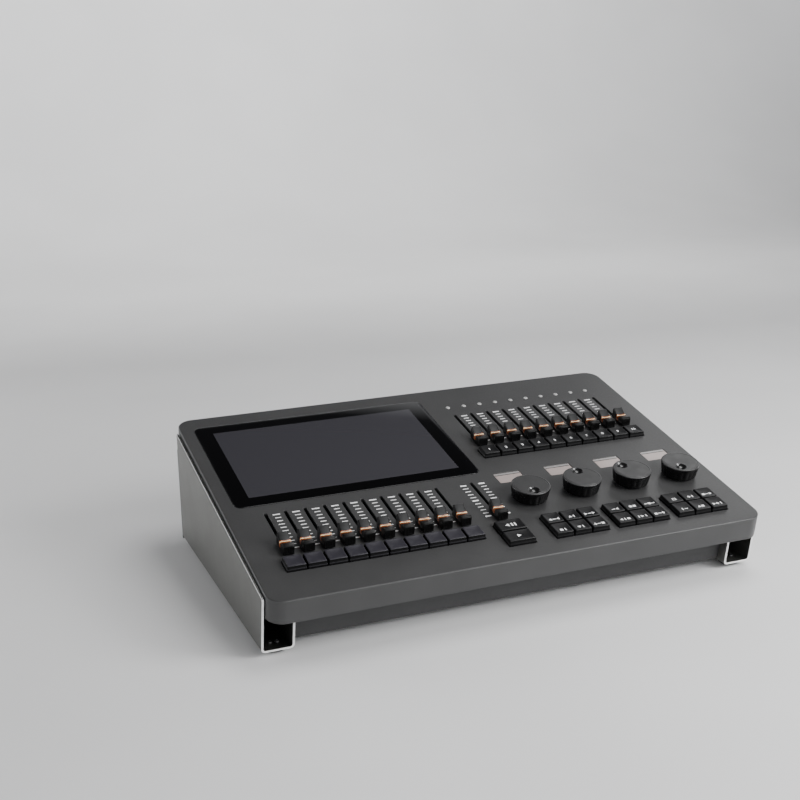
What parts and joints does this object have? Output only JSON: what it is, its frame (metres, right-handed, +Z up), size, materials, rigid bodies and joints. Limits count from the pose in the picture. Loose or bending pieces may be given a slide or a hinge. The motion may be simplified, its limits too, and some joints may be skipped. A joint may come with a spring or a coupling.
{
  "type": "lighting control desk",
  "caption": "Sloped lighting control desk with a touchscreen, two fader banks with flash keys, a master fader, encoder wheels with small displays and key pads.",
  "frame": {"origin": "centre of the bounding box's bottom face, on the surface the feet stand on", "axes": "+X to the operator's right along the longest side, +Y away from the operator, +Z up"},
  "size_m": [0.5028, 0.3434, 0.1283],
  "materials": {
    "panel_paint": "fine-textured matte anthracite powder coat",
    "rail_metal": "brushed light grey metal with bright cut edges",
    "chassis_paint": "matte black powder coat on folded sheet",
    "screen_glass": "glossy black cover glass",
    "display_metal": "plain pressed sheet",
    "board_laminate": "green solder resist",
    "window_film": "pale pinkish film behind a clear window",
    "lamp_diffuser": "frosted white light pipe",
    "socket_plastic": "black moulded plastic",
    "foot_rubber": "matte black rubber",
    "fader_plastic": "black satin plastic with a softly ribbed grey top",
    "key_violet_black": "violet-black satin plastic",
    "key_black": "black satin plastic",
    "wheel_black": "black satin plastic with a grooved rim",
    "stripe_orange": "orange inlaid pointer line on each fader cap",
    "print_white": "white screen print on the panel and the keys",
    "screw_steel": "zinc-plated pan-head screws",
    "contact_metal": "plated socket shells and contacts"
  },
  "bodies": {
    "casework": {"top_panel": "panel_paint", "left_side_rail": "rail_metal", "right_side_rail": "rail_metal", "bottom_tray": "chassis_paint", "rear_panel": "chassis_paint", "touchscreen_glass": "screen_glass", "display_module": "display_metal", "screen_bracket": "chassis_paint", "left_control_board": "board_laminate", "right_control_board": "board_laminate", "display_window_strip": "window_film", "lamp_light_bar": "lamp_diffuser", "main_board": "board_laminate", "power_supply": "display_metal", "power_inlet": "socket_plastic", "power_switch_housing": "socket_plastic", "dmx_output_1": "socket_plastic", "dmx_output_2": "socket_plastic", "front_left_foot": "foot_rubber", "front_right_foot": "foot_rubber", "rear_left_foot": "foot_rubber", "rear_right_foot": "foot_rubber"},
    "lower_fader_1": {"lower_fader_1": "fader_plastic"},
    "lower_fader_2": {"lower_fader_2": "fader_plastic"},
    "lower_fader_3": {"lower_fader_3": "fader_plastic"},
    "lower_fader_4": {"lower_fader_4": "fader_plastic"},
    "lower_fader_5": {"lower_fader_5": "fader_plastic"},
    "lower_fader_6": {"lower_fader_6": "fader_plastic"},
    "lower_fader_7": {"lower_fader_7": "fader_plastic"},
    "lower_fader_8": {"lower_fader_8": "fader_plastic"},
    "lower_fader_9": {"lower_fader_9": "fader_plastic"},
    "lower_fader_10": {"lower_fader_10": "fader_plastic"},
    "upper_fader_1": {"upper_fader_1": "fader_plastic"},
    "upper_fader_2": {"upper_fader_2": "fader_plastic"},
    "upper_fader_3": {"upper_fader_3": "fader_plastic"},
    "upper_fader_4": {"upper_fader_4": "fader_plastic"},
    "upper_fader_5": {"upper_fader_5": "fader_plastic"},
    "upper_fader_6": {"upper_fader_6": "fader_plastic"},
    "upper_fader_7": {"upper_fader_7": "fader_plastic"},
    "upper_fader_8": {"upper_fader_8": "fader_plastic"},
    "upper_fader_9": {"upper_fader_9": "fader_plastic"},
    "upper_fader_10": {"upper_fader_10": "fader_plastic"},
    "master_fader": {"master_fader": "fader_plastic"},
    "lower_flash_keys_left": {"lower_flash_keys_left": "key_violet_black"},
    "lower_flash_keys_right": {"lower_flash_keys_right": "key_violet_black"},
    "upper_flash_keys_left": {"upper_flash_keys_left": "key_black"},
    "upper_flash_keys_right": {"upper_flash_keys_right": "key_black"},
    "pad_1_rear_keys": {"pad_1_rear_keys": "key_black"},
    "pad_1_front_keys": {"pad_1_front_keys": "key_black"},
    "pad_2_rear_keys": {"pad_2_rear_keys": "key_black"},
    "pad_2_front_keys": {"pad_2_front_keys": "key_black"},
    "pad_3_rear_keys": {"pad_3_rear_keys": "key_black"},
    "pad_3_front_keys": {"pad_3_front_keys": "key_black"},
    "pause_key": {"pause_key": "key_black"},
    "go_key": {"go_key": "key_black"},
    "encoder_wheel_1": {"encoder_wheel_1": "wheel_black"},
    "encoder_wheel_2": {"encoder_wheel_2": "wheel_black"},
    "encoder_wheel_3": {"encoder_wheel_3": "wheel_black"},
    "encoder_wheel_4": {"encoder_wheel_4": "wheel_black"},
    "power_switch": {"power_switch": "key_black"}
  },
  "joints": [
    {"name": "lower_fader_1_slide", "type": "slide", "parent": "casework", "child": "lower_fader_1", "axis": [0, 0.9799, 0.1994], "range_m": [0, 0.06]},
    {"name": "lower_fader_2_slide", "type": "slide", "parent": "casework", "child": "lower_fader_2", "axis": [0, 0.9799, 0.1994], "range_m": [0, 0.06]},
    {"name": "lower_fader_3_slide", "type": "slide", "parent": "casework", "child": "lower_fader_3", "axis": [0, 0.9799, 0.1994], "range_m": [0, 0.06]},
    {"name": "lower_fader_4_slide", "type": "slide", "parent": "casework", "child": "lower_fader_4", "axis": [0, 0.9799, 0.1994], "range_m": [0, 0.06]},
    {"name": "lower_fader_5_slide", "type": "slide", "parent": "casework", "child": "lower_fader_5", "axis": [0, 0.9799, 0.1994], "range_m": [0, 0.06]},
    {"name": "lower_fader_6_slide", "type": "slide", "parent": "casework", "child": "lower_fader_6", "axis": [0, 0.9799, 0.1994], "range_m": [0, 0.06]},
    {"name": "lower_fader_7_slide", "type": "slide", "parent": "casework", "child": "lower_fader_7", "axis": [0, 0.9799, 0.1994], "range_m": [0, 0.06]},
    {"name": "lower_fader_8_slide", "type": "slide", "parent": "casework", "child": "lower_fader_8", "axis": [0, 0.9799, 0.1994], "range_m": [0, 0.06]},
    {"name": "lower_fader_9_slide", "type": "slide", "parent": "casework", "child": "lower_fader_9", "axis": [0, 0.9799, 0.1994], "range_m": [0, 0.06]},
    {"name": "lower_fader_10_slide", "type": "slide", "parent": "casework", "child": "lower_fader_10", "axis": [0, 0.9799, 0.1994], "range_m": [0, 0.06]},
    {"name": "upper_fader_1_slide", "type": "slide", "parent": "casework", "child": "upper_fader_1", "axis": [0, 0.9799, 0.1994], "range_m": [0, 0.06]},
    {"name": "upper_fader_2_slide", "type": "slide", "parent": "casework", "child": "upper_fader_2", "axis": [0, 0.9799, 0.1994], "range_m": [0, 0.06]},
    {"name": "upper_fader_3_slide", "type": "slide", "parent": "casework", "child": "upper_fader_3", "axis": [0, 0.9799, 0.1994], "range_m": [0, 0.06]},
    {"name": "upper_fader_4_slide", "type": "slide", "parent": "casework", "child": "upper_fader_4", "axis": [0, 0.9799, 0.1994], "range_m": [0, 0.06]},
    {"name": "upper_fader_5_slide", "type": "slide", "parent": "casework", "child": "upper_fader_5", "axis": [0, 0.9799, 0.1994], "range_m": [0, 0.06]},
    {"name": "upper_fader_6_slide", "type": "slide", "parent": "casework", "child": "upper_fader_6", "axis": [0, 0.9799, 0.1994], "range_m": [0, 0.06]},
    {"name": "upper_fader_7_slide", "type": "slide", "parent": "casework", "child": "upper_fader_7", "axis": [0, 0.9799, 0.1994], "range_m": [0, 0.06]},
    {"name": "upper_fader_8_slide", "type": "slide", "parent": "casework", "child": "upper_fader_8", "axis": [0, 0.9799, 0.1994], "range_m": [0, 0.06]},
    {"name": "upper_fader_9_slide", "type": "slide", "parent": "casework", "child": "upper_fader_9", "axis": [0, 0.9799, 0.1994], "range_m": [0, 0.06]},
    {"name": "upper_fader_10_slide", "type": "slide", "parent": "casework", "child": "upper_fader_10", "axis": [0, 0.9799, 0.1994], "range_m": [0, 0.06]},
    {"name": "master_fader_slide", "type": "slide", "parent": "casework", "child": "master_fader", "axis": [0, 0.9799, 0.1994], "range_m": [0, 0.06]},
    {"name": "lower_flash_keys_left_press", "type": "slide", "parent": "casework", "child": "lower_flash_keys_left", "axis": [0, 0.1994, -0.9799], "range_m": [0, 0.0035], "stiffness_N_per_m": 400, "springref_m": -0.0015},
    {"name": "lower_flash_keys_right_press", "type": "slide", "parent": "casework", "child": "lower_flash_keys_right", "axis": [0, 0.1994, -0.9799], "range_m": [0, 0.0035], "stiffness_N_per_m": 400, "springref_m": -0.0015},
    {"name": "upper_flash_keys_left_press", "type": "slide", "parent": "casework", "child": "upper_flash_keys_left", "axis": [0, 0.1994, -0.9799], "range_m": [0, 0.0035], "stiffness_N_per_m": 400, "springref_m": -0.0015},
    {"name": "upper_flash_keys_right_press", "type": "slide", "parent": "casework", "child": "upper_flash_keys_right", "axis": [0, 0.1994, -0.9799], "range_m": [0, 0.0035], "stiffness_N_per_m": 400, "springref_m": -0.0015},
    {"name": "pad_1_rear_keys_press", "type": "slide", "parent": "casework", "child": "pad_1_rear_keys", "axis": [0, 0.1994, -0.9799], "range_m": [0, 0.0035], "stiffness_N_per_m": 400, "springref_m": -0.0015},
    {"name": "pad_1_front_keys_press", "type": "slide", "parent": "casework", "child": "pad_1_front_keys", "axis": [0, 0.1994, -0.9799], "range_m": [0, 0.0035], "stiffness_N_per_m": 400, "springref_m": -0.0015},
    {"name": "pad_2_rear_keys_press", "type": "slide", "parent": "casework", "child": "pad_2_rear_keys", "axis": [0, 0.1994, -0.9799], "range_m": [0, 0.0035], "stiffness_N_per_m": 400, "springref_m": -0.0015},
    {"name": "pad_2_front_keys_press", "type": "slide", "parent": "casework", "child": "pad_2_front_keys", "axis": [0, 0.1994, -0.9799], "range_m": [0, 0.0035], "stiffness_N_per_m": 400, "springref_m": -0.0015},
    {"name": "pad_3_rear_keys_press", "type": "slide", "parent": "casework", "child": "pad_3_rear_keys", "axis": [0, 0.1994, -0.9799], "range_m": [0, 0.0035], "stiffness_N_per_m": 400, "springref_m": -0.0015},
    {"name": "pad_3_front_keys_press", "type": "slide", "parent": "casework", "child": "pad_3_front_keys", "axis": [0, 0.1994, -0.9799], "range_m": [0, 0.0035], "stiffness_N_per_m": 400, "springref_m": -0.0015},
    {"name": "pause_key_press", "type": "slide", "parent": "casework", "child": "pause_key", "axis": [0, 0.1994, -0.9799], "range_m": [0, 0.0035], "stiffness_N_per_m": 400, "springref_m": -0.0015},
    {"name": "go_key_press", "type": "slide", "parent": "casework", "child": "go_key", "axis": [0, 0.1994, -0.9799], "range_m": [0, 0.0035], "stiffness_N_per_m": 400, "springref_m": -0.0015},
    {"name": "encoder_wheel_1_turn", "type": "hinge", "parent": "casework", "child": "encoder_wheel_1", "pos_m": [0.0411, -0.07628, 0.07888], "axis": [0, -0.1994, 0.9799], "continuous": true},
    {"name": "encoder_wheel_2_turn", "type": "hinge", "parent": "casework", "child": "encoder_wheel_2", "pos_m": [0.0978, -0.07628, 0.07888], "axis": [0, -0.1994, 0.9799], "continuous": true},
    {"name": "encoder_wheel_3_turn", "type": "hinge", "parent": "casework", "child": "encoder_wheel_3", "pos_m": [0.1545, -0.07628, 0.07888], "axis": [0, -0.1994, 0.9799], "continuous": true},
    {"name": "encoder_wheel_4_turn", "type": "hinge", "parent": "casework", "child": "encoder_wheel_4", "pos_m": [0.2112, -0.07628, 0.07888], "axis": [0, -0.1994, 0.9799], "continuous": true},
    {"name": "power_switch_rock", "type": "hinge", "parent": "casework", "child": "power_switch", "pos_m": [-0.14, 0.1549, 0.06], "axis": [1, 0, 0], "range_deg": [0, 24]}
  ]
}
